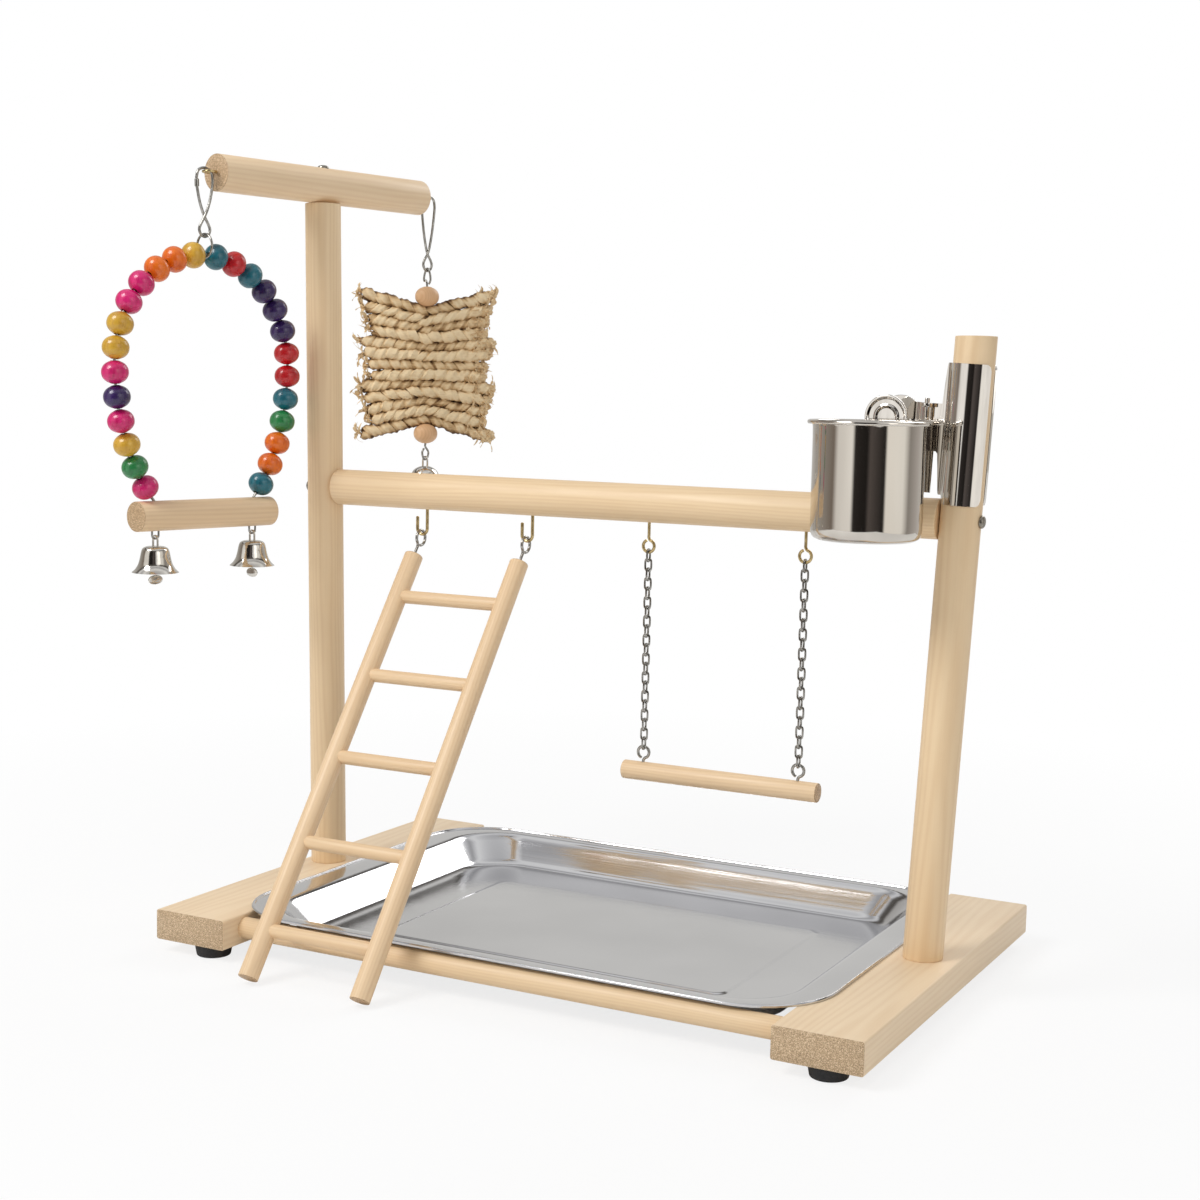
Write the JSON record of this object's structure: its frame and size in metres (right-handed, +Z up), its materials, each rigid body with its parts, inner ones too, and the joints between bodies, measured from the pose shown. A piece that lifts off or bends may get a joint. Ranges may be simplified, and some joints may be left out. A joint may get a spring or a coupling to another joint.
{
  "type": "parrot play stand",
  "caption": "Wooden tabletop play stand on two foot boards, with crossbar, ladder, chain swing, bead swing, husk toy, clip-on cup and lift-out tray.",
  "frame": {"origin": "centre of the bounding box, at the floor", "axes": "+X along the crossbar from the tall left post to the short right post, +Y to the rear, +Z up; the ladder leans out at the front, -Y"},
  "size_m": [0.5356, 0.3558, 0.5268],
  "materials": {
    "wood": "smooth, lightly lacquered",
    "rubber": "matt",
    "zinc_screws": "zinc plated",
    "brass_wire": "bright",
    "nickel": "nickel plated",
    "pink_bead": "dyed, satin",
    "green_bead": "dyed, satin",
    "yellow_bead": "dyed, satin",
    "purple_bead": "dyed, satin",
    "orange_bead": "dyed, satin",
    "teal_bead": "dyed, satin",
    "red_bead": "dyed, satin",
    "husk": "dry twisted husk",
    "tray_steel": "polished",
    "cup_steel": "polished",
    "spring_steel": "bright"
  },
  "bodies": {
    "stand": {"left_base_board": "wood", "right_base_board": "wood", "front_base_rail": "wood", "rear_base_rail": "wood", "rubber_feet": "rubber", "foot_screws": "zinc_screws", "left_post": "wood", "right_post": "wood", "post_screws": "zinc_screws", "crossbar": "wood", "crossbar_screws": "zinc_screws", "top_perch": "wood", "top_perch_screw": "zinc_screws", "front_perch_eye": "brass_wire", "rear_perch_eye": "brass_wire", "ladder_hooks": "brass_wire", "swing_eyes": "brass_wire"},
    "ladder": {"left_ladder_rail": "wood", "right_ladder_rail": "wood", "ladder_rungs": "wood", "ladder_eyes": "nickel"},
    "chains": {"left_chain": "nickel", "right_chain": "nickel"},
    "swing": {"swing_perch": "wood", "swing_perch_eyes": "nickel"},
    "bead_hanger": {"bead_snap_hook": "nickel", "bead_ring": "nickel"},
    "bead_swing": {"bead_arch_wire": "nickel", "pink_beads": "pink_bead", "green_beads": "green_bead", "yellow_beads": "yellow_bead", "purple_beads": "purple_bead", "orange_beads": "orange_bead", "teal_beads": "teal_bead", "red_beads": "red_bead", "bead_swing_perch": "wood", "bell_staples": "nickel"},
    "left_bell": {"left_bell": "nickel"},
    "left_clapper": {"left_clapper": "nickel"},
    "right_bell": {"right_bell": "nickel"},
    "right_clapper": {"right_clapper": "nickel"},
    "toy_hanger": {"toy_snap_hook": "nickel"},
    "husk_toy": {"toy_wire": "nickel", "toy_beads": "wood", "husk_rows": "husk"},
    "round_bell": {"toy_bell": "nickel"},
    "round_clapper": {"toy_clapper": "nickel"},
    "tray": {"tray": "tray_steel"},
    "feeder": {"feeder_cup": "cup_steel", "clamp_near_half": "cup_steel", "clamp_pin": "cup_steel", "clamp_spring": "spring_steel"},
    "far_jaw": {"clamp_far_half": "cup_steel"}
  },
  "joints": [
    {"name": "ladder_swing", "type": "hinge", "parent": "stand", "child": "ladder", "pos_m": [0, 0.0204, 0.271], "axis": [-1, 0, 0], "range_deg": [0, 55]},
    {"name": "chain_swing", "type": "hinge", "parent": "stand", "child": "chains", "pos_m": [0.09615, 0.0204, 0.269], "axis": [1, 0, 0], "range_deg": [-50, 50]},
    {"name": "swing_perch_tilt", "type": "hinge", "parent": "chains", "child": "swing", "pos_m": [0.09615, 0.0204, 0.13985], "axis": [1, 0, 0], "range_deg": [-25, 25]},
    {"name": "bead_hanger_swing", "type": "hinge", "parent": "stand", "child": "bead_hanger", "pos_m": [-0.24375, -0.08191, 0.5125], "axis": [-0.9781, 0.2079, 0], "range_deg": [-3, 40]},
    {"name": "bead_swing_turn", "type": "hinge", "parent": "bead_hanger", "child": "bead_swing", "pos_m": [-0.24375, -0.08191, 0.4578], "axis": [0.2079, 0.9781, 0], "range_deg": [-40, 40]},
    {"name": "left_bell_swing", "type": "hinge", "parent": "bead_swing", "child": "left_bell", "pos_m": [-0.25227, -0.12202, 0.2698], "axis": [0.2079, 0.9781, 0], "range_deg": [-30, 30]},
    {"name": "left_clapper_swing", "type": "hinge", "parent": "left_bell", "child": "left_clapper", "pos_m": [-0.25227, -0.12202, 0.2605], "axis": [0.2079, 0.9781, 0], "range_deg": [-12, 12]},
    {"name": "right_bell_swing", "type": "hinge", "parent": "bead_swing", "child": "right_bell", "pos_m": [-0.23522, -0.04181, 0.2698], "axis": [0.2079, 0.9781, 0], "range_deg": [-30, 30]},
    {"name": "right_clapper_swing", "type": "hinge", "parent": "right_bell", "child": "right_clapper", "pos_m": [-0.23522, -0.04181, 0.2605], "axis": [0.2079, 0.9781, 0], "range_deg": [-12, 12]},
    {"name": "toy_hanger_swing", "type": "hinge", "parent": "stand", "child": "toy_hanger", "pos_m": [-0.20025, 0.12271, 0.5125], "axis": [0.9781, -0.2079, 0], "range_deg": [-8, 40]},
    {"name": "husk_toy_swing", "type": "hinge", "parent": "toy_hanger", "child": "husk_toy", "pos_m": [-0.20025, 0.12271, 0.4595], "axis": [0.2079, 0.9781, 0], "range_deg": [-35, 35]},
    {"name": "round_bell_swing", "type": "hinge", "parent": "husk_toy", "child": "round_bell", "pos_m": [-0.20025, 0.12271, 0.3185], "axis": [0.2079, 0.9781, 0], "range_deg": [-25, 25]},
    {"name": "round_clapper_swing", "type": "hinge", "parent": "round_bell", "child": "round_clapper", "pos_m": [-0.20025, 0.12271, 0.3092], "axis": [0.2079, 0.9781, 0], "range_deg": [-12, 12]},
    {"name": "tray_lift", "type": "slide", "parent": "stand", "child": "tray", "axis": [0, 0, 1], "range_m": [0, 0.012]},
    {"name": "feeder_slide", "type": "slide", "parent": "stand", "child": "feeder", "axis": [0.0447, 0, 0.999], "range_m": [0, 0.05]},
    {"name": "clamp_open", "type": "hinge", "parent": "feeder", "child": "far_jaw", "pos_m": [0.22578, 0.0204, 0.35586], "axis": [0.0447, 0, 0.999], "range_deg": [0, 25], "stiffness_Nm_per_rad": 0.3, "springref_deg": -34.38}
  ]
}
